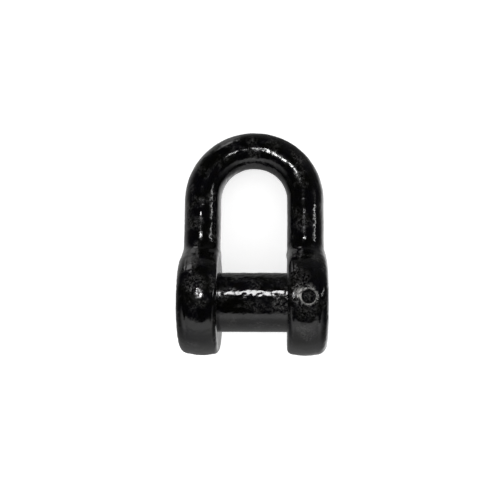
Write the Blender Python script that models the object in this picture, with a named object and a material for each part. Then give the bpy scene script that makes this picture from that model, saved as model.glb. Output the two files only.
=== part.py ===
"""Dee shackle of the joining / end type used with stud-link anchor chain.

Local frame of the shackle: X runs along the round main pin, Z from the pin
towards the crown of the bow, -Y is the front (the side from which the taper
pin is driven). The whole assembly hangs on one empty that lays it down as it
rests on a floor: the rims of the two ears and the crown touch Z = 0, +Y points
to the crown and the front looks up.
"""
import math

import bmesh
import bpy
from mathutils import Matrix, Vector

# ---------------------------------------------------------------- dimensions
BAR_R = 0.0198            # radius of the round bow bar
HALF_GAP = 0.0359         # half the jaw gap between the two ears
EAR_R = 0.0562            # radius of each ear disc about the pin axis
EAR_T = 0.0416            # thickness of each ear, along X
EAR_INNER_ROUND = 0.0060  # rounding of the rim at the jaw side
EAR_OUTER_ROUND = 0.0105  # rounding of the rim at the outer side
RIM_CROWN = 0.0013        # how much the forged rim is crowned between them
LEG_TOP = 0.1117          # height where the straight legs turn into the crown
SHOULDER_R = 0.0200       # fillet between the legs and the ears
SHOULDER_SET_OUT = 0.0009  # the jaw face of an ear stands proud of the leg

PIN_R = 0.0315            # radius of the headless main pin
PIN_SET_IN = 0.0008       # how far the pin's ends stand inside the ears' faces
PIN_CHAMFER = 0.0022

GAP = 0.0003              # clearance kept between two pieces

TAPER_X = 0.0567          # taper pin axis, in the middle of the +X ear
TAPER_BIG_R = 0.0063      # radius of the taper pin's large end
TAPER_RATE = 1.0 / 16.0   # taper on diameter
TAPER_LEN = 0.0970
TAPER_BIG_Y = -0.0466     # where the large end lies
TAPER_CHAMFER = 0.0006

PELLET_R = 0.0068         # lead pellet that seals the taper pin in
PELLET_BACK_Y = TAPER_BIG_Y - GAP
PELLET_FRONT_Y = -0.0541
PELLET_DISH = 0.0010      # dished face of the hammered pellet
PELLET_DOT_R = 0.0009
MOUTH_R = 0.0097          # countersink round the pellet
MOUTH_DEPTH = 0.0026

PIN_SEGMENTS = 72
EAR_SEGMENTS = 72
BAR_SIDES = 36
CROWN_STEPS = 30

BOW_R = HALF_GAP + BAR_R              # centreline radius of the crown
EAR_OUT = HALF_GAP + EAR_T            # outer face of each ear
LIE_ANGLE = math.asin((EAR_R - BAR_R) / (LEG_TOP + BOW_R))
CROWN_Y = (LEG_TOP + BOW_R) * math.cos(LIE_ANGLE) + BAR_R
CENTRE_Y = (CROWN_Y - EAR_R) / 2.0


# ------------------------------------------------------------------- helpers
def clear_scene():
    for ob in list(bpy.data.objects):
        bpy.data.objects.remove(ob, do_unlink=True)


def material(name, colour, roughness, metallic, coat=0.0):
    mat = bpy.data.materials.new(name)
    mat.use_nodes = True
    bsdf = mat.node_tree.nodes["Principled BSDF"]
    bsdf.inputs["Base Color"].default_value = (*colour, 1.0)
    bsdf.inputs["Roughness"].default_value = roughness
    bsdf.inputs["Metallic"].default_value = metallic
    bsdf.inputs["Coat Weight"].default_value = coat
    mat.diffuse_color = (*colour, 1.0)
    return mat


def to_object(name, bm, mat=None, smooth_angle=math.radians(32)):
    bmesh.ops.recalc_face_normals(bm, faces=bm.faces)
    mesh = bpy.data.meshes.new(name)
    bm.to_mesh(mesh)
    bm.free()
    mesh.shade_smooth()
    mesh.set_sharp_from_angle(angle=smooth_angle)
    if mat is not None:
        mesh.materials.append(mat)
    ob = bpy.data.objects.new(name, mesh)
    bpy.context.scene.collection.objects.link(ob)
    return ob


def guide(ob):
    ob.hide_render = True
    ob.display_type = 'WIRE'
    return ob


def boolean(ob, other, operation):
    mod = ob.modifiers.new(operation.lower() + "_" + other.name, 'BOOLEAN')
    mod.operation = operation
    mod.solver = 'EXACT'
    mod.object = other
    return mod


def loft(bm, rings):
    """Bridge rings of equal point count into one closed skin."""
    loops = [[bm.verts.new(p) for p in ring] for ring in rings]
    n = len(loops[0])
    for a, b in zip(loops[:-1], loops[1:]):
        for i in range(n):
            j = (i + 1) % n
            bm.faces.new((a[i], a[j], b[j], b[i]))
    bm.faces.new(loops[0][::-1])
    bm.faces.new(loops[-1])


def turned(name, profile, axis, segments, mat=None):
    """Turn a profile of (along, radius) points round an axis through the
    origin, 'X' or 'Y'."""
    bm = bmesh.new()
    rings = []
    for along, radius in profile:
        ring = []
        for k in range(segments):
            a = 2.0 * math.pi * (k + 0.5) / segments
            c, s = radius * math.cos(a), radius * math.sin(a)
            ring.append(Vector((along, c, s)) if axis == 'X'
                        else Vector((c, along, s)))
        rings.append(ring)
    loft(bm, rings)
    return to_object(name, bm, mat)


# ---------------------------------------------------------------- the bow bar
def shoulder_half_depth(z):
    """Half depth (front to back) of the bar at height z: the round bar, then a
    fillet that runs into the rim of the ear."""
    reach = EAR_R - 0.0007
    cy = BAR_R + SHOULDER_R
    cz = math.sqrt((reach + SHOULDER_R) ** 2 - cy ** 2)
    if z >= cz:
        return BAR_R
    touch_z = cz * reach / (reach + SHOULDER_R)
    if z >= touch_z:
        return cy - math.sqrt(max(SHOULDER_R ** 2 - (cz - z) ** 2, 0.0))
    return math.sqrt(max(reach ** 2 - z ** 2, 0.0)) - (touch_z - z) * 0.10


def bar_ring(centre, outward, half_width, half_depth, power):
    """A rounded section; outward is the direction away from the opening."""
    ring = []
    for k in range(BAR_SIDES):
        a = 2.0 * math.pi * k / BAR_SIDES
        c, s = math.cos(a), math.sin(a)
        u = math.copysign(abs(c) ** (2.0 / power), c) * half_width
        v = math.copysign(abs(s) ** (2.0 / power), s) * half_depth
        ring.append(centre + outward * u + Vector((0.0, v, 0.0)))
    return ring


def leg_levels():
    reach = EAR_R - 0.0007
    cz = math.sqrt((reach + SHOULDER_R) ** 2 - (BAR_R + SHOULDER_R) ** 2)
    levels = [0.026, 0.034, 0.0405]
    touch_z = cz * reach / (reach + SHOULDER_R)
    steps = 9
    for k in range(steps + 1):
        levels.append(touch_z + (cz - touch_z) * k / steps)
    levels += [0.084, 0.098]
    return levels


def bow_rings():
    rings = []
    levels = leg_levels()

    def leg(side, z):
        wy = shoulder_half_depth(z)
        flare = min(max((wy - BAR_R) / 0.012, 0.0), 1.0)
        # the section squares up and moves out a little as it meets the ear
        cx = BOW_R + SHOULDER_SET_OUT * flare
        return bar_ring(Vector((side * cx, 0.0, z)), Vector((side, 0.0, 0.0)),
                        BAR_R, wy, 2.0 + 0.7 * flare)

    for z in levels:
        rings.append(leg(-1.0, z))
    for k in range(CROWN_STEPS + 1):
        a = math.pi * (1.0 - k / CROWN_STEPS)
        out = Vector((math.cos(a), 0.0, math.sin(a)))
        rings.append(bar_ring(Vector((0.0, 0.0, LEG_TOP)) + out * BOW_R,
                              out, BAR_R, BAR_R, 2.0))
    for z in reversed(levels):
        rings.append(leg(1.0, z))
    return rings


def ear_profile(side):
    """Rim profile of an ear, from the jaw face to the outer face."""
    pts = []
    r1, r2 = EAR_INNER_ROUND, EAR_OUTER_ROUND
    for k in range(5):
        a = math.pi / 2.0 * k / 4
        pts.append((HALF_GAP + r1 * (1.0 - math.cos(a)),
                    EAR_R - RIM_CROWN - r1 * (1.0 - math.sin(a))))
    for k in (1, 2, 3):
        t = k / 4.0
        pts.append((HALF_GAP + r1 + (EAR_T - r1 - r2) * t,
                    EAR_R - RIM_CROWN * (2.0 * t - 1.0) ** 2))
    for k in range(6):
        a = math.pi / 2.0 * k / 5
        pts.append((EAR_OUT - r2 + r2 * math.sin(a),
                    EAR_R - RIM_CROWN - r2 * (1.0 - math.cos(a))))
    return [(side * x, r) for x, r in pts]


# --------------------------------------------------------------------- pieces
clear_scene()

PAINT = (0.008, 0.008, 0.009)
mat_body = material("shackle_body_paint", PAINT, 0.22, 0.0, 0.3)
mat_pin = material("shackle_pin_paint", PAINT, 0.20, 0.0, 0.3)
mat_taper = material("taper_pin_steel", (0.33, 0.33, 0.34), 0.38, 1.0)
mat_lead = material("lead_pellet_paint", (0.012, 0.012, 0.013), 0.30, 0.0, 0.2)

frame = bpy.data.objects.new("shackle_frame", None)
frame.empty_display_type = 'ARROWS'
frame.empty_display_size = 0.05
frame.rotation_euler = (-(math.pi / 2.0 + LIE_ANGLE), 0.0, 0.0)
frame.location = (0.0, -CENTRE_Y, EAR_R)
bpy.context.scene.collection.objects.link(frame)

# an empty on the axis along which the taper pin and the pellet are driven out
drive = bpy.data.objects.new("taper_drive_axis", None)
drive.empty_display_size = 0.02
drive.location = (TAPER_X, 0.0, 0.0)
drive.parent = frame
bpy.context.scene.collection.objects.link(drive)

# bow with its two ears
bm = bmesh.new()
loft(bm, bow_rings())
body = to_object("shackle_body", bm, mat_body)
body.parent = frame

for side, label in ((-1.0, "left"), (1.0, "right")):
    ear = guide(turned("ear_" + label, ear_profile(side), 'X', EAR_SEGMENTS))
    ear.parent = frame
    boolean(body, ear, 'UNION')

pin_bore = guide(turned("pin_bore", [(-EAR_OUT - 0.010, PIN_R + GAP),
                                     (EAR_OUT + 0.010, PIN_R + GAP)],
                        'X', PIN_SEGMENTS))
pin_bore.parent = frame
boolean(body, pin_bore, 'DIFFERENCE')


def taper_radius(y):
    return TAPER_BIG_R - (y - TAPER_BIG_Y) * TAPER_RATE / 2.0


# the tapered cross hole: countersunk mouth, pellet recess, taper, punch exit
PELLET_SEAT = -(EAR_R - MOUTH_DEPTH)
hole_profile = [
    (-(EAR_R + 0.004), MOUTH_R + 0.0004),
    (-EAR_R, MOUTH_R),
    (PELLET_SEAT, PELLET_R + GAP),
    (TAPER_BIG_Y - GAP * 0.5, PELLET_R + GAP),
    (TAPER_BIG_Y - GAP * 0.5 + 0.00005, TAPER_BIG_R + GAP),
    (TAPER_BIG_Y + TAPER_LEN + GAP, taper_radius(TAPER_BIG_Y + TAPER_LEN) + GAP),
    (EAR_R + 0.004, taper_radius(TAPER_BIG_Y + TAPER_LEN) + GAP),
]
cross_hole = guide(turned("cross_hole", hole_profile, 'Y', 36))
cross_hole.parent = drive
boolean(body, cross_hole, 'DIFFERENCE')

# headless main pin, locked by the taper pin through its +X end
PIN_END = EAR_OUT - PIN_SET_IN
pin = turned("shackle_pin", [
    (-PIN_END, PIN_R - PIN_CHAMFER),
    (-PIN_END + PIN_CHAMFER, PIN_R),
    (PIN_END - PIN_CHAMFER, PIN_R),
    (PIN_END, PIN_R - PIN_CHAMFER),
], 'X', PIN_SEGMENTS, mat_pin)
pin.parent = frame
boolean(pin, cross_hole, 'DIFFERENCE')

# taper pin (spile pin)
end_y = TAPER_BIG_Y + TAPER_LEN
taper = turned("taper_pin", [
    (TAPER_BIG_Y, TAPER_BIG_R - TAPER_CHAMFER),
    (TAPER_BIG_Y + TAPER_CHAMFER, taper_radius(TAPER_BIG_Y + TAPER_CHAMFER)),
    (end_y - TAPER_CHAMFER, taper_radius(end_y - TAPER_CHAMFER)),
    (end_y, taper_radius(end_y) - TAPER_CHAMFER),
], 'Y', 36, mat_taper)
taper.parent = drive

# lead pellet, hammered into the mouth in front of the taper pin
pellet = turned("lead_pellet", [
    (PELLET_BACK_Y, PELLET_R - 0.0005),
    (PELLET_BACK_Y - 0.0005, PELLET_R),
    (PELLET_FRONT_Y + 0.0004, PELLET_R),
    (PELLET_FRONT_Y, PELLET_R - 0.0006),
    (PELLET_FRONT_Y + PELLET_DISH * 0.45, PELLET_R - 0.0022),
    (PELLET_FRONT_Y + PELLET_DISH, PELLET_R * 0.30),
    (PELLET_FRONT_Y + PELLET_DISH, PELLET_DOT_R),
    (PELLET_FRONT_Y + PELLET_DISH + 0.0009, PELLET_DOT_R * 0.35),
], 'Y', 36, mat_lead)
pellet.parent = drive

bpy.context.view_layer.update()
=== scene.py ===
import math

import bmesh
import bpy
import numpy as np
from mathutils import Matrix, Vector


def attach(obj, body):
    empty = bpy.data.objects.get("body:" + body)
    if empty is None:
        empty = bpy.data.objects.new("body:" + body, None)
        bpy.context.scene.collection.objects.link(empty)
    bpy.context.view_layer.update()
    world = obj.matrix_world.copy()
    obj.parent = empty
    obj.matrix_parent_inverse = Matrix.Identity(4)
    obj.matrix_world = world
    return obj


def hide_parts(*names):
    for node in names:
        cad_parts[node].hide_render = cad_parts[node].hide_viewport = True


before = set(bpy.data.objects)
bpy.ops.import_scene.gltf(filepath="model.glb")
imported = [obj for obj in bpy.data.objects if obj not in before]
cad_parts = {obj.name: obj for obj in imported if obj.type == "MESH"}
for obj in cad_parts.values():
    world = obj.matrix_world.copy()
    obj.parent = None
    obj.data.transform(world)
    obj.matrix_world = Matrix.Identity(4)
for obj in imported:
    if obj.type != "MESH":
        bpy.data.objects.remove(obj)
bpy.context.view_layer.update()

# ------------------------------------------------------------------ the design
# The sizes of the CAD model, in millimetres, in the shackle's own frame: X along
# the main pin, Z towards the crown, -Y the front (it looks up as the part lies).
BAR_R, HALF_GAP, EAR_R, EAR_T = 19.8, 35.9, 56.2, 41.6
EAR_INNER_ROUND, EAR_OUTER_ROUND, RIM_CROWN = 6.0, 10.5, 1.3
LEG_TOP, SHOULDER_R, SHOULDER_SET_OUT = 111.7, 20.0, 0.9
PIN_R, PIN_SET_IN, PIN_CHAMFER, GAP = 31.5, 0.8, 2.2, 0.3
TAPER_X, TAPER_BIG_R, TAPER_RATE, TAPER_LEN, TAPER_BIG_Y = 56.7, 6.3, 1 / 16, 97.0, -46.6
PELLET_R, PELLET_FRONT_Y = 6.8, -54.1
MOUTH_R, MOUTH_DEPTH = 9.7, 2.6
BOW_R = HALF_GAP + BAR_R
EAR_OUT = HALF_GAP + EAR_T
SIN_T = (EAR_R - BAR_R) / (LEG_TOP + BOW_R)
COS_T = math.sqrt(1.0 - SIN_T ** 2)
CENTRE_Y = ((LEG_TOP + BOW_R) * COS_T + BAR_R - EAR_R) / 2.0

TURN = np.array([[1.0, 0.0, 0.0], [0.0, -SIN_T, COS_T], [0.0, -COS_T, -SIN_T]])
SHIFT = np.array([0.0, -CENTRE_Y, EAR_R])


def to_world(p):
    """Own frame in mm to the row frame in m."""
    return (np.asarray(p, float) @ TURN.T + SHIFT) / 1000.0


def to_own(p):
    return (np.asarray(p, float) * 1000.0 - SHIFT) @ TURN


# ----------------------------------------------------------------- noise fields
class Noise:
    """Gradient noise, seeded, about -1 to 1."""

    def __init__(self, seed):
        rng = np.random.default_rng(seed)
        self.perm = np.tile(rng.permutation(512), 2)
        g = rng.normal(size=(512, 3))
        self.grad = g / np.linalg.norm(g, axis=1)[:, None]

    def __call__(self, p):
        i = np.floor(p).astype(np.int64)
        f = p - i
        u = f * f * f * (f * (f * 6 - 15) + 10)
        i &= 511
        out = np.zeros(len(p))
        for dx in (0, 1):
            wx = u[:, 0] if dx else 1 - u[:, 0]
            px = self.perm[(i[:, 0] + dx) & 511]
            for dy in (0, 1):
                wy = u[:, 1] if dy else 1 - u[:, 1]
                py = self.perm[(px + i[:, 1] + dy) & 511]
                for dz in (0, 1):
                    wz = u[:, 2] if dz else 1 - u[:, 2]
                    g = self.grad[self.perm[(py + i[:, 2] + dz) & 511]]
                    d = f - np.array([dx, dy, dz])
                    out += wx * wy * wz * (g * d).sum(1)
        return out * 1.5


def smin(a, b, k):
    h = np.maximum(k - np.abs(a - b), 0.0) / k
    return np.minimum(a, b) - h * h * k * 0.25


def smax(a, b, k):
    return -smin(-a, -b, k)


def smoothstep(x, lo, hi):
    t = np.clip((x - lo) / (hi - lo), 0.0, 1.0)
    return t * t * (3 - 2 * t)


# ------------------------------------------------------- the shapes as distances
REACH = EAR_R - 0.7
FIL_Y = BAR_R + SHOULDER_R
FIL_Z = math.sqrt((REACH + SHOULDER_R) ** 2 - FIL_Y ** 2)
TOUCH_Z = FIL_Z * REACH / (REACH + SHOULDER_R)


def half_depth(z):
    fil = FIL_Y - np.sqrt(np.maximum(SHOULDER_R ** 2 - (FIL_Z - z) ** 2, 0.0))
    rim = np.sqrt(np.maximum(REACH ** 2 - z ** 2, 1.0)) - (TOUCH_Z - z) * 0.10
    return np.where(z >= FIL_Z, BAR_R, np.where(z >= TOUCH_Z, fil, rim))


def bar_field(p):
    x, y, z = p[:, 0], p[:, 1], p[:, 2]
    crown = np.hypot(np.hypot(x, z - LEG_TOP) - BOW_R, y) - BAR_R
    wy = half_depth(z)
    flare = np.clip((wy - BAR_R) / 12.0, 0.0, 1.0)
    power = 2.0 + 0.7 * flare
    ux = np.abs(np.abs(x) - BOW_R - SHOULDER_SET_OUT * flare) / BAR_R
    uy = np.abs(y) / wy
    leg = ((ux ** power + uy ** power + 1e-12) ** (1.0 / power) - 1.0) * BAR_R
    return np.maximum(np.where(z >= LEG_TOP, crown, leg), 12.0 - z)


def ear_field(p):
    e = np.abs(p[:, 0]) - (HALF_GAP + EAR_T / 2)
    r = np.hypot(p[:, 1], p[:, 2])
    mid = (EAR_INNER_ROUND - EAR_OUTER_ROUND) / 2
    span = (EAR_T - EAR_INNER_ROUND - EAR_OUTER_ROUND) / 2
    crown = RIM_CROWN * np.clip(((e - mid) / span) ** 2, 0.0, 1.0)
    rho = EAR_INNER_ROUND + (EAR_OUTER_ROUND - EAR_INNER_ROUND) * smoothstep(e, -4.0, 4.0)
    a = np.abs(e) - (EAR_T / 2 - rho)
    b = r + crown - (EAR_R - rho)
    return np.hypot(np.maximum(a, 0), np.maximum(b, 0)) + np.minimum(np.maximum(a, b), 0) - rho


def taper_r(y):
    return TAPER_BIG_R - (y - TAPER_BIG_Y) * TAPER_RATE / 2.0


def hole_field(p, pellet=True):
    """Negative inside the cross hole of the +X ear."""
    y = p[:, 1]
    rad = np.hypot(p[:, 0] - TAPER_X, p[:, 2])
    seat = -(EAR_R - MOUTH_DEPTH)
    cone = rad - (PELLET_R + GAP + (seat - y) * (MOUTH_R - PELLET_R - GAP) / MOUTH_DEPTH)
    recess = np.maximum(rad - (PELLET_R + GAP), y - (TAPER_BIG_Y - 0.15))
    tail = np.maximum(rad - (taper_r(np.minimum(y, TAPER_BIG_Y + TAPER_LEN)) + GAP), -80 - y)
    mouth = np.maximum(cone * 0.62, y - (seat + 3.0))
    return np.minimum(np.minimum(mouth, recess), tail)


def body_field(p):
    # blended in the crease under the leg only: lower down the bar runs just
    # inside the ear's own skin, and a wide blend there would thicken the ear
    crease = smoothstep(p[:, 2], 43.0, 53.0)
    f = smin(bar_field(p), ear_field(p), 1.0 + 4.5 * crease)
    f = smax(f, PIN_R + GAP - np.hypot(p[:, 1], p[:, 2]), 1.0)
    return smax(f, -hole_field(p), 0.7)


def pin_field(p):
    f = smax(np.hypot(p[:, 1], p[:, 2]) - PIN_R,
             np.abs(p[:, 0]) - (EAR_OUT - PIN_SET_IN), 3.4)
    rad = np.hypot(p[:, 0] - TAPER_X, p[:, 2])
    hole = rad - (taper_r(p[:, 1]) + GAP)
    return smax(f, -hole, 0.3)


def taper_field(p):
    rad = np.hypot(p[:, 0] - TAPER_X, p[:, 2])
    y = p[:, 1]
    f = smax(rad - taper_r(y), TAPER_BIG_Y - y, 1.0)
    return smax(f, y - (TAPER_BIG_Y + TAPER_LEN), 0.9)


def pellet_field(p):
    rad = np.hypot(p[:, 0] - TAPER_X, p[:, 2])
    y = p[:, 1]
    # hammered face: a raised lip, a shallow dish and a punch mark
    lip = PELLET_FRONT_Y + 0.55 * smoothstep(rad, 4.9, 3.4) + 0.45 * smoothstep(rad, 3.2, 1.6)
    lip = lip - 0.35 * np.exp(-((rad - 2.7) / 0.55) ** 2)
    dot = 0.9 * np.exp(-(rad / 0.75) ** 2)
    f = smax(rad - PELLET_R, lip + dot - y, 0.9)
    return smax(f, y - (TAPER_BIG_Y - GAP), 0.4)


# ------------------------------------------------------------------ mesh making
def closed_copy(node, voxel):
    """The CAD node as one even, fine mesh: the start of a detailed surface."""
    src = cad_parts[node]
    me = src.data.copy()
    bm = bmesh.new()
    bm.from_mesh(me)
    bmesh.ops.remove_doubles(bm, verts=bm.verts, dist=2e-6)
    bm.to_mesh(me)
    bm.free()
    tmp = bpy.data.objects.new("tmp_" + node, me)
    bpy.context.scene.collection.objects.link(tmp)
    mod = tmp.modifiers.new("even", 'REMESH')
    mod.mode = 'VOXEL'
    mod.voxel_size = voxel
    mod.use_smooth_shade = True
    dg = bpy.context.evaluated_depsgraph_get()
    fine = bpy.data.meshes.new_from_object(tmp.evaluated_get(dg))
    bpy.data.objects.remove(tmp)
    return fine


def gradient(field, p, eps=0.02):
    g = np.empty_like(p)
    for a in range(3):
        d = np.zeros(3)
        d[a] = eps
        g[:, a] = (field(p + d) - field(p - d)) / (2 * eps)
    return g


def settle(field, p, rounds=4):
    """Moves each point onto the field's surface."""
    for _ in range(rounds):
        v = field(p)
        g = gradient(field, p)
        gg = np.maximum((g * g).sum(1), 0.05)
        p = p - g * np.clip(v / gg, -0.8, 0.8)[:, None]
    g = gradient(field, p)
    return p, g / np.maximum(np.linalg.norm(g, axis=1), 1e-9)[:, None]


def relax(p, n, edges, amount=0.5):
    """Evens the spacing along the surface."""
    cnt = np.bincount(edges.ravel(), minlength=len(p)).astype(float)
    s = np.empty_like(p)
    for a in range(3):
        s[:, a] = (np.bincount(edges[:, 0], p[edges[:, 1], a], len(p))
                   + np.bincount(edges[:, 1], p[edges[:, 0], a], len(p)))
    d = s / np.maximum(cnt, 1)[:, None] - p
    d -= n * (d * n).sum(1)[:, None]
    return p + d * amount


def detailed(name, node, voxel, field, relief, passes=3):
    """A fine mesh of the field's surface, with its relief along the normal."""
    me = closed_copy(node, voxel)
    nv = len(me.vertices)
    co = np.empty(nv * 3, np.float32)
    me.vertices.foreach_get("co", co)
    ed = np.empty(len(me.edges) * 2, np.int32)
    me.edges.foreach_get("vertices", ed)
    ed = ed.reshape(-1, 2)
    p = to_own(co.reshape(-1, 3))
    p, n = settle(field, p, 5)
    for _ in range(passes):
        p = relax(p, n, ed)
        p, n = settle(field, p, 2)
    h = relief(p, n)
    p = p + n * h[:, None]
    me.vertices.foreach_set("co", to_world(p).astype(np.float32).ravel())
    me.update()
    me.shade_smooth()
    me.materials.clear()
    me.name = name
    ob = bpy.data.objects.new(name, me)
    bpy.context.scene.collection.objects.link(ob)
    return ob


N1, N2, N3, N4, N5 = (Noise(s) for s in (11, 23, 37, 41, 59))
rng = np.random.default_rng(7)


def away_from_fits(p):
    """0 in the bores and on the pin inside the ears, 1 on free surfaces."""
    bore = smoothstep(np.hypot(p[:, 1], p[:, 2]), PIN_R + 0.5, PIN_R + 3.0)
    hole = smoothstep(np.hypot(p[:, 0] - TAPER_X, p[:, 2]), PELLET_R + 0.4, PELLET_R + 1.6)
    return bore * hole


def spot(p, x, z, size):
    """1 at a place on the front, falling away over size mm."""
    return np.exp(-((p[:, 0] - x) ** 2 + (p[:, 2] - z) ** 2) / size ** 2) * (p[:, 1] < 0)


def body_relief(p, n):
    low = 0.26 * N1(p / 19.0) + 0.14 * N2(p / 8.0)
    mid = 0.060 * N3(p / 4.2) + 0.030 * N4(p / 2.1)
    front = smoothstep(-p[:, 1], 15.0, 35.0)
    # thick, uneven paint: round the locking hole, on the -X ear's front, at the
    # shoulders, and in patches over the rest
    hole = np.exp(-(np.hypot(p[:, 0] - TAPER_X, p[:, 2] + 1.0) / 17.0) ** 2) * front
    left = np.exp(-(np.hypot(p[:, 0] + 58.0, p[:, 2] - 12.0) / 15.0) ** 2) * front
    patch = smoothstep(N5(p / 21.0 + 4.0), -0.05, 0.35)
    rough = np.clip(hole + 0.9 * left + 0.55 * patch, 0.0, 1.1)
    # the lumps come in clusters, with smoother paint between them
    cluster = 0.30 + 0.95 * smoothstep(N4(p / 8.5 + 2.0), -0.15, 0.40)
    lumps = rough * cluster * (0.34 * N5(p / 4.8) + 0.19 * N3(p / 2.6 + 7.0) + 0.06 * N2(p / 1.6 + 5.0))
    # paint stands up in a lip round the countersink
    rad = np.hypot(p[:, 0] - TAPER_X, p[:, 2])
    lumps += 0.42 * np.exp(-((rad - MOUTH_R - 1.3) / 1.5) ** 2) * front * (0.75 + 0.5 * N1(p / 5.0 + 8.0))
    # two low swellings left by the forging on the -X ear
    lumps += 0.55 * spot(p, -56.0, 9.6, 3.4) + 0.30 * spot(p, -60.0, 21.0, 3.0)
    # the crown's section is a little full on the inner side of its front
    q = BOW_R - np.hypot(p[:, 0], p[:, 2] - LEG_TOP)
    turn = np.degrees(np.arctan2(q, -p[:, 1]))
    full = 0.8 * np.exp(-((turn - 48.0) / 20.0) ** 2) * smoothstep(p[:, 2], LEG_TOP - 12.0, LEG_TOP + 22.0)
    return (low + mid + lumps + full) * away_from_fits(p)


def pin_relief(p, n):
    ax = np.abs(p[:, 0])
    mid = 1.0 - smoothstep(ax, HALF_GAP - 2.4, HALF_GAP - 0.7)
    end = smoothstep(ax, EAR_OUT - PIN_SET_IN - 0.4, EAR_OUT - PIN_SET_IN - 0.1)
    q = p * np.array([1.0, 0.8, 0.8])
    beads = p * np.array([1.0, 1.15, 1.15])
    upper = 0.22 + 0.78 * smoothstep(p[:, 2] / PIN_R, -0.12, 0.16)
    lumps = 0.10 * N1(q / 9.0 + 3.0) + 0.29 * upper * N2(beads / 5.2 + 1.5) + 0.06 * N3(p / 2.3) + 0.02 * N4(p / 1.4)
    lumps += smoothstep(p[:, 0], 18.0, 34.0) * (0.10 * N5(p / 3.2) + 0.05 * N3(p / 1.7 + 9.0))
    return lumps * mid + (0.10 * N4(p / 6.0) + 0.05 * N5(p / 2.4)) * end


def taper_relief(p, n):
    big = smoothstep(p[:, 1], TAPER_BIG_Y + 0.8, TAPER_BIG_Y)
    return 0.05 * N2(p / 2.0) * big + 0.006 * np.sin(p[:, 1] * 2 * math.pi / 0.9)


def pellet_relief(p, n):
    front = smoothstep(p[:, 1], PELLET_FRONT_Y + 2.4, PELLET_FRONT_Y + 1.4)
    return (0.19 * N3(p / 1.9 + 2.0) + 0.09 * N4(p / 0.9)) * front


body = detailed("bow_and_ears", "shackle_body", 0.00075, body_field, body_relief)
pin = detailed("main_pin", "shackle_pin", 0.00080, pin_field, pin_relief)
taper = detailed("spile_pin", "taper_pin", 0.00040, taper_field, taper_relief)
pellet = detailed("lead_plug", "lead_pellet", 0.00024, pellet_field, pellet_relief)


# ------------------------------------------------------------------- materials
def new_material(name):
    mat = bpy.data.materials.new(name)
    mat.use_nodes = True
    nt = mat.node_tree
    bsdf = nt.nodes["Principled BSDF"]
    return mat, nt, bsdf


def node(nt, kind, **props):
    n = nt.nodes.new(kind)
    for k, v in props.items():
        setattr(n, k, v)
    return n


def noise(nt, vec, scale, detail=2.0, rough=0.5, distortion=0.0):
    n = node(nt, "ShaderNodeTexNoise")
    n.inputs["Scale"].default_value = scale
    n.inputs["Detail"].default_value = detail
    n.inputs["Roughness"].default_value = rough
    n.inputs["Distortion"].default_value = distortion
    nt.links.new(vec, n.inputs["Vector"])
    return n.outputs["Fac"]


def ramp(nt, fac, stops):
    n = node(nt, "ShaderNodeValToRGB")
    el = n.color_ramp.elements
    while len(el) > 1:
        el.remove(el[-1])
    el[0].position, el[0].color = stops[0][0], (*stops[0][1], 1)
    for pos, col in stops[1:]:
        e = el.new(pos)
        e.color = (*col, 1)
    nt.links.new(fac, n.inputs["Fac"])
    return n.outputs["Color"]


def map_range(nt, fac, lo, hi, a, b):
    n = node(nt, "ShaderNodeMapRange")
    n.inputs["From Min"].default_value = lo
    n.inputs["From Max"].default_value = hi
    n.inputs["To Min"].default_value = a
    n.inputs["To Max"].default_value = b
    nt.links.new(fac, n.inputs["Value"])
    return n.outputs["Result"]


def math_node(nt, op, a, b):
    n = node(nt, "ShaderNodeMath", operation=op)
    for i, v in enumerate((a, b)):
        if isinstance(v, (int, float)):
            n.inputs[i].default_value = v
        else:
            nt.links.new(v, n.inputs[i])
    return n.outputs[0]


def own_place(nt, tc):
    """The point in the shackle's own frame, in metres, from Object coordinates."""
    parts = []
    for k in range(3):
        dot = node(nt, "ShaderNodeVectorMath", operation='DOT_PRODUCT')
        nt.links.new(tc.outputs["Object"], dot.inputs[0])
        dot.inputs[1].default_value = tuple(TURN[:, k])
        parts.append(math_node(nt, "ADD", dot.outputs["Value"], float(-(SHIFT @ TURN[:, k]) / 1000.0)))
    return parts


def zone(nt, own, x, z, near, far, front=True):
    """1 within near mm of a place seen from the front, 0 beyond far mm."""
    a = math_node(nt, "POWER", math_node(nt, "ADD", own[0], -x / 1000.0), 2.0)
    b = math_node(nt, "POWER", math_node(nt, "ADD", own[2], -z / 1000.0), 2.0)
    d = math_node(nt, "SQRT", math_node(nt, "ADD", a, b), 0.0)
    m = node(nt, "ShaderNodeMapRange", interpolation_type='SMOOTHSTEP')
    m.inputs["From Min"].default_value = far / 1000.0
    m.inputs["From Max"].default_value = near / 1000.0
    nt.links.new(d, m.inputs["Value"])
    out = m.outputs["Result"]
    if front:
        out = math_node(nt, "MULTIPLY", out, map_range(nt, own[1], -0.020, -0.030, 0.0, 1.0))
    return out


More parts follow.
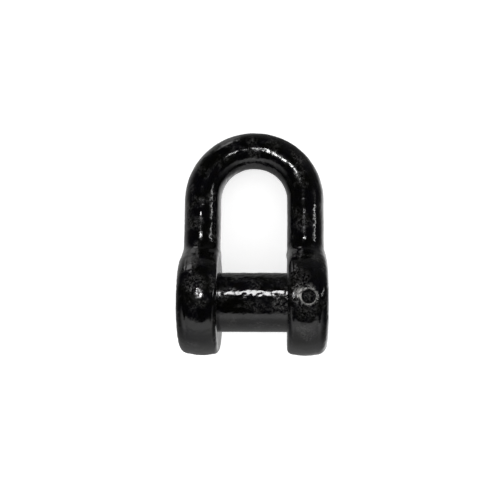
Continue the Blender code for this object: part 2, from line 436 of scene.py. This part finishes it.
def black_paint(name, stroke=(1.0, 0.25, 1.0), offset=0.0, zones=(), grain=0.35, painted_glints=()):
    """Thick brushed gloss black. zones are (x, z, near, far, weight) where it is
    dull, grainy and thin; the rings (x, z, inner, outer, weight) of the last argument are painted pale grey: painted
    highlight, not wear."""
    mat, nt, bsdf = new_material(name)
    tc = node(nt, "ShaderNodeTexCoord")
    mp = node(nt, "ShaderNodeMapping")
    mp.inputs["Location"].default_value = (offset, offset, offset)
    nt.links.new(tc.outputs["Object"], mp.inputs["Vector"])
    vec = mp.outputs["Vector"]
    st = node(nt, "ShaderNodeMapping")
    st.inputs["Scale"].default_value = stroke
    nt.links.new(vec, st.inputs["Vector"])
    strokes = noise(nt, st.outputs["Vector"], 520.0, 3.0, 0.55)
    patches = noise(nt, vec, 55.0, 3.0, 0.6, 0.4)
    grit = noise(nt, vec, 430.0, 3.0, 0.65, 0.3)
    # where the paint is dull: stated zones, and faint patches everywhere
    own = own_place(nt, tc)
    dull = math_node(nt, "MULTIPLY", map_range(nt, noise(nt, vec, 70.0, 2.0, 0.5), 0.50, 0.68, 0.0, 1.0), grain)
    for x, z, near, far, weight in zones:
        dull = math_node(nt, "MAXIMUM", dull, math_node(nt, "MULTIPLY", zone(nt, own, x, z, near, far), weight))
    spots = math_node(nt, "MULTIPLY", dull, map_range(nt, grit, 0.44, 0.66, 0.0, 1.0))
    col = ramp(nt, patches, [(0.30, (0.0015, 0.0015, 0.0009)), (0.46, (0.0012, 0.0012, 0.0010)),
                             (0.60, (0.0012, 0.0011, 0.0021)), (0.74, (0.0021, 0.0017, 0.0015))])
    mixc = node(nt, "ShaderNodeMix", data_type='RGBA')
    nt.links.new(spots, mixc.inputs["Factor"])
    nt.links.new(col, mixc.inputs["A"])
    mixc.inputs["B"].default_value = (0.085, 0.084, 0.082, 1)
    colour = mixc.outputs["Result"]
    # painted highlight: pale grey rings and discs, broken up by noise, stand in for light caught by the countersink's
    # lip and the ear's front
    for x, z, inner, outer, weight in painted_glints:
        ring = math_node(nt, "MULTIPLY", zone(nt, own, x, z, outer - 0.5, outer + 1.3),
                         math_node(nt, "SUBTRACT", 1.0, zone(nt, own, x, z, inner - 0.2, inner + 0.5)))
        glint_breakup = map_range(nt, noise(nt, vec, 210.0, 4.0, 0.65, 0.8), 0.42, 0.58, 0.0, weight)
        ring = math_node(nt, "MULTIPLY", ring, glint_breakup)
        mix_glint = node(nt, "ShaderNodeMix", data_type='RGBA')
        nt.links.new(ring, mix_glint.inputs["Factor"])
        nt.links.new(colour, mix_glint.inputs["A"])
        mix_glint.inputs["B"].default_value = (0.42, 0.415, 0.40, 1)
        colour = mix_glint.outputs["Result"]
    nt.links.new(colour, bsdf.inputs["Base Color"])
    gloss = map_range(nt, noise(nt, vec, 140.0, 4.0, 0.6), 0.3, 0.7, 0.08, 0.17)
    rough = math_node(nt, "MULTIPLY_ADD", spots, 0.30)
    nt.links.new(gloss, rough.node.inputs[2])
    nt.links.new(rough, bsdf.inputs["Roughness"])
    peel = noise(nt, vec, 850.0, 2.0, 0.5)
    height = math_node(nt, "ADD", math_node(nt, "MULTIPLY", strokes, 0.25), math_node(nt, "MULTIPLY", peel, 0.2))
    height = math_node(nt, "ADD", height, math_node(nt, "MULTIPLY", math_node(nt, "MULTIPLY", grit, dull), 2.4))
    bump = node(nt, "ShaderNodeBump")
    bump.inputs["Strength"].default_value = 0.7
    bump.inputs["Distance"].default_value = 0.000045
    nt.links.new(height, bump.inputs["Height"])
    nt.links.new(bump.outputs["Normal"], bsdf.inputs["Normal"])
    bsdf.inputs["Metallic"].default_value = 0.0
    bsdf.inputs["IOR"].default_value = 1.5
    return mat


def turned_steel(name):
    mat, nt, bsdf = new_material(name)
    tc = node(nt, "ShaderNodeTexCoord")
    vec = tc.outputs["Object"]
    st = node(nt, "ShaderNodeMapping")
    st.inputs["Scale"].default_value = (0.25, 0.25, 1.0)
    nt.links.new(vec, st.inputs["Vector"])
    rings = noise(nt, st.outputs["Vector"], 2600.0, 2.0, 0.6)
    oil = noise(nt, vec, 130.0, 4.0, 0.6, 0.6)
    col = ramp(nt, oil, [(0.30, (0.13, 0.11, 0.09)), (0.50, (0.30, 0.29, 0.28)), (0.72, (0.42, 0.41, 0.40))])
    nt.links.new(col, bsdf.inputs["Base Color"])
    nt.links.new(map_range(nt, rings, 0.3, 0.7, 0.26, 0.48), bsdf.inputs["Roughness"])
    bump = node(nt, "ShaderNodeBump")
    bump.inputs["Strength"].default_value = 0.35
    bump.inputs["Distance"].default_value = 0.000012
    nt.links.new(rings, bump.inputs["Height"])
    nt.links.new(bump.outputs["Normal"], bsdf.inputs["Normal"])
    bsdf.inputs["Metallic"].default_value = 1.0
    return mat


BODY_ZONES = ((51.5, 2.0, 8.0, 16.0, 1.0), (TAPER_X, 0.0, 8.8, 11.5, 1.6), (55.0, -12.0, 6.0, 16.0, 0.30),
              (-58.0, 12.0, 5.0, 15.0, 0.45), (48.0, 20.0, 4.0, 14.0, 0.35))
PIN_ZONES = ((30.0, -8.0, 5.0, 15.0, 0.7), (-30.0, 4.0, 2.0, 10.0, 0.35))
# the body's pale grey rings and discs round the locking hole are painted highlight
body.data.materials.append(black_paint("body_paint", (1.0, 0.25, 1.0), 0.0, BODY_ZONES,
                                           painted_glints=((TAPER_X, 0.0, 7.3, 8.3, 0.55), (TAPER_X - 3.6, 1.8, 3.4, 6.4, 0.85),
                                                 (46.5, 3.0, -9.0, 4.6, 0.30))))
pin.data.materials.append(black_paint("pin_paint", (0.3, 1.0, 1.0), 0.13, PIN_ZONES, 0.30))
taper.data.materials.append(turned_steel("taper_steel"))
pellet.data.materials.append(black_paint("pellet_paint", (1.0, 1.0, 1.0), 0.29, ((TAPER_X, 0.0, 1.0, 9.0, 0.50),), 0.2))

for ob, nd, bd, sl in ((body, "shackle_body", "shackle", "shackle_body_paint"),
                       (pin, "shackle_pin", "shackle", "shackle_pin_paint"),
                       (taper, "taper_pin", "taper_pin", "taper_pin_steel"),
                       (pellet, "lead_pellet", "lead_pellet", "lead_pellet_paint")):
    for p in ob.data.polygons:
        p.material_index = 0
    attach(ob, bd)
    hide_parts(nd)


# ---------------------------------------------------------------------- studio
def plane(name, size, z):
    bm = bmesh.new()
    bmesh.ops.create_grid(bm, x_segments=2, y_segments=2, size=size)
    me = bpy.data.meshes.new(name)
    bm.to_mesh(me)
    bm.free()
    ob = bpy.data.objects.new(name, me)
    ob.location = (0, 0, z)
    bpy.context.scene.collection.objects.link(ob)
    return ob


floor = plane("studio_floor", 6.0, -0.0006)
fm, fnt, fb = new_material("studio_white")
fb.inputs["Base Color"].default_value = (0.86, 0.86, 0.86, 1)
fb.inputs["Roughness"].default_value = 0.9
fb.inputs["Specular IOR Level"].default_value = 0.0
fb.inputs["Emission Color"].default_value = (1, 1, 1, 1)
fb.inputs["Emission Strength"].default_value = 0.62
floor.data.materials.append(fm)
floor.visible_glossy = False      # the paint mirrors the studio's air instead

# What the gloss mirrors: a dark room, one wide pale card on the -Y side that
# reaches 53 degrees up, and light ground on the +X and -X sides.
world = bpy.data.worlds.new("studio_air")
bpy.context.scene.world = world
world.use_nodes = True
wt = world.node_tree
for n_ in list(wt.nodes):
    wt.nodes.remove(n_)
tc = node(wt, "ShaderNodeTexCoord")
way = tc.outputs["Generated"]
sep = node(wt, "ShaderNodeSeparateXYZ")
wt.links.new(way, sep.inputs[0])
dx, dy, dz = sep.outputs["X"], sep.outputs["Y"], sep.outputs["Z"]


def level_ramp(fac, stops):
    """A smooth grey level along fac, which runs from -1 to 1."""
    unit = math_node(wt, "MULTIPLY_ADD", fac, 0.5)
    unit.node.inputs[2].default_value = 0.5
    n = node(wt, "ShaderNodeValToRGB")
    el = n.color_ramp.elements
    while len(el) > 1:
        el.remove(el[-1])
    el[0].position, el[0].color = (stops[0][0] + 1) / 2, (stops[0][1],) * 3 + (1,)
    for pos, v in stops[1:]:
        e = el.new((pos + 1) / 2)
        e.color = (v, v, v, 1)
    wt.links.new(unit, n.inputs["Fac"])
    return n.outputs["Color"]


def lobe(direction, stops):
    d = Vector(direction).normalized()
    dot = node(wt, "ShaderNodeVectorMath", operation='DOT_PRODUCT')
    wt.links.new(way, dot.inputs[0])
    dot.inputs[1].default_value = d
    return level_ramp(dot.outputs["Value"], stops)


# the dark room: its floor, and above the horizon its far side, dimmer towards -X
ground = level_ramp(dz, [(-1.0, 0.12), (-0.5, 0.14), (-0.2, 0.11), (-0.03, 0.075), (0.06, 0.0), (1.0, 0.0)])
far_side = level_ramp(dz, [(-1.0, 0.0), (-0.03, 0.0), (0.06, 0.070), (0.35, 0.050), (0.7, 0.014), (1.0, 0.010)])
card_up = level_ramp(dz, [(-1.0, 0.0), (-0.85, 0.14), (-0.60, 0.27), (-0.20, 0.44), (0.10, 0.48),
                          (0.40, 0.64), (0.60, 1.15), (0.775, 1.15), (0.815, 0.0), (1.0, 0.0)])
card_across = level_ramp(dx, [(-1.0, 0.0), (-0.90, 0.10), (-0.75, 0.50), (-0.45, 0.85), (-0.20, 1.0),
                              (0.25, 1.0), (0.50, 0.55), (0.72, 0.22), (0.90, 0.03), (1.0, 0.0)])
card_side = level_ramp(dy, [(-1.0, 1.0), (-0.30, 1.0), (-0.02, 0.0), (1.0, 0.0)])
card = math_node(wt, "MULTIPLY", math_node(wt, "MULTIPLY", card_up, card_across), card_side)
far_side = math_node(wt, "MULTIPLY", far_side, level_ramp(dx, [
    (-1.0, 0.45), (-0.80, 0.40), (-0.25, 0.16), (0.04, 0.22), (0.25, 1.25), (0.70, 1.15), (0.90, 0.55), (1.0, 0.45)]))
room = math_node(wt, "ADD", ground, far_side)
ground_right = lobe((0.60, -0.12, -0.79), [(-1.0, 0.0), (0.72, 0.0), (0.87, 0.34), (0.95, 1.25), (1.0, 1.6)])
ground_left = lobe((-0.56, 0.34, -0.76), [(-1.0, 0.0), (0.68, 0.0), (0.82, 0.14), (0.94, 0.36), (1.0, 0.48)])
# a tall narrow window low on the +Y side, and its image on the ground
edge = node(wt, "ShaderNodeVectorMath", operation='DOT_PRODUCT')
wt.links.new(way, edge.inputs[0])
edge.inputs[1].default_value = (-0.934, -0.358, 0.0)
window_across = level_ramp(edge.outputs["Value"], [(-1.0, 0.0), (-0.13, 0.0), (-0.08, 1.0), (0.08, 1.0), (0.13, 0.0), (1.0, 0.0)])
window_up = level_ramp(dz, [(-1.0, 0.0), (-0.62, 0.0), (-0.50, 0.6), (-0.15, 0.7), (-0.09, 2.6), (0.07, 2.6), (0.13, 0.0), (1.0, 0.0)])
window_side = level_ramp(dy, [(-1.0, 0.0), (0.0, 0.0), (0.2, 1.0), (1.0, 1.0)])
window = math_node(wt, "MULTIPLY", math_node(wt, "MULTIPLY", window_across, window_up), window_side)
total = math_node(wt, "ADD", math_node(wt, "ADD", room, card), math_node(wt, "ADD", ground_right, ground_left))
total = math_node(wt, "ADD", total, window)
mirrored = node(wt, "ShaderNodeBackground")
wt.links.new(total, mirrored.inputs["Color"])
soft = node(wt, "ShaderNodeBackground")
soft.inputs["Color"].default_value = (0.92, 0.92, 0.92, 1)
seen = node(wt, "ShaderNodeBackground")
seen.inputs["Color"].default_value = (1.0, 1.0, 1.0, 1)
lp = node(wt, "ShaderNodeLightPath")
m1 = node(wt, "ShaderNodeMixShader")
wt.links.new(lp.outputs["Is Diffuse Ray"], m1.inputs[0])
wt.links.new(mirrored.outputs[0], m1.inputs[1])
wt.links.new(soft.outputs[0], m1.inputs[2])
m2 = node(wt, "ShaderNodeMixShader")
wt.links.new(lp.outputs["Is Camera Ray"], m2.inputs[0])
wt.links.new(m1.outputs[0], m2.inputs[1])
wt.links.new(seen.outputs[0], m2.inputs[2])
wo = node(wt, "ShaderNodeOutputWorld")
wt.links.new(m2.outputs[0], wo.inputs["Surface"])


def softbox(name, pos, target, sx, sy, radiance, shadow=True):
    ld = bpy.data.lights.new(name, 'AREA')
    ld.shape = 'RECTANGLE'
    ld.size, ld.size_y = sx, sy
    # Blender's area light gives radiance = power / (pi * area)
    ld.energy = radiance * math.pi * sx * sy
    ld.use_shadow = shadow
    ob = bpy.data.objects.new(name, ld)
    ob.location = pos
    ob.rotation_euler = (Vector(target) - Vector(pos)).to_track_quat('-Z', 'Y').to_euler()
    ob.visible_camera = False
    bpy.context.scene.collection.objects.link(ob)
    return ob


def only_on(light, pieces, name):
    """Keeps a small lamp's glint on the pieces that it is set for."""
    group = bpy.data.collections.new(name)
    for ob in pieces:
        group.objects.link(ob)
    light.light_linking.receiver_collection = group


HERE = Vector((0.0, -0.01, 0.07))
pin_lamp = softbox("pin_lamp", (-0.008, 0.152, 0.312), HERE, 0.116, 0.062, 22.0)
only_on(pin_lamp, [pin], "lit_by_pin_lamp")
crown_lamp = softbox("crown_lamp", (-0.020, 0.280, 0.86), HERE, 0.044, 0.060, 28.0)
only_on(crown_lamp, [body], "lit_by_crown_lamp")
ear_lamp = softbox("ear_lamp", (-0.150, 0.268, 0.86), HERE, 0.080, 0.085, 75.0)
only_on(ear_lamp, [body], "lit_by_ear_lamp")
softbox("right_lamp", (1.02, 0.40, 0.78), HERE, 0.024, 0.54, 24.0)


# ---------------------------------------------------------------------- camera
PX = 1.0782                       # mm for one unit of the fitted view
DIST = 807.44 * PX / 1000.0
az, el, roll = math.radians(2.01), math.radians(-10.42), math.radians(0.46)
back = np.array([math.sin(az) * math.cos(el), -math.cos(az) * math.cos(el), math.sin(el)])
right = np.array([math.cos(az), math.sin(az), 0.0])
upv = np.cross(back, right)
r2 = math.cos(roll) * right + math.sin(roll) * upv
u2 = -math.sin(roll) * right + math.cos(roll) * upv
aim = np.array([0.0, 0.0, 55.0 * PX]) - 3.8 * PX * r2 - 2.4 * PX * u2
eye = aim + back * DIST * 1000.0
cam_data = bpy.data.cameras.new("camera")
cam_data.sensor_width = 36.0
cam_data.lens = 807.44 / 500.0 * 36.0
cam_data.clip_start, cam_data.clip_end = 0.01, 50.0
cam = bpy.data.objects.new("camera", cam_data)
bpy.context.scene.collection.objects.link(cam)
from mathutils import Matrix
axes = np.stack([TURN @ r2, TURN @ u2, TURN @ back], axis=1)
m = Matrix.Identity(4)
for i in range(3):
    for j in range(3):
        m[i][j] = axes[i, j]
    m[i][3] = to_world(eye)[i]
cam.matrix_world = m
bpy.context.scene.camera = cam
bpy.context.scene.view_settings.view_transform = 'Standard'
bpy.context.scene.view_settings.look = 'None'
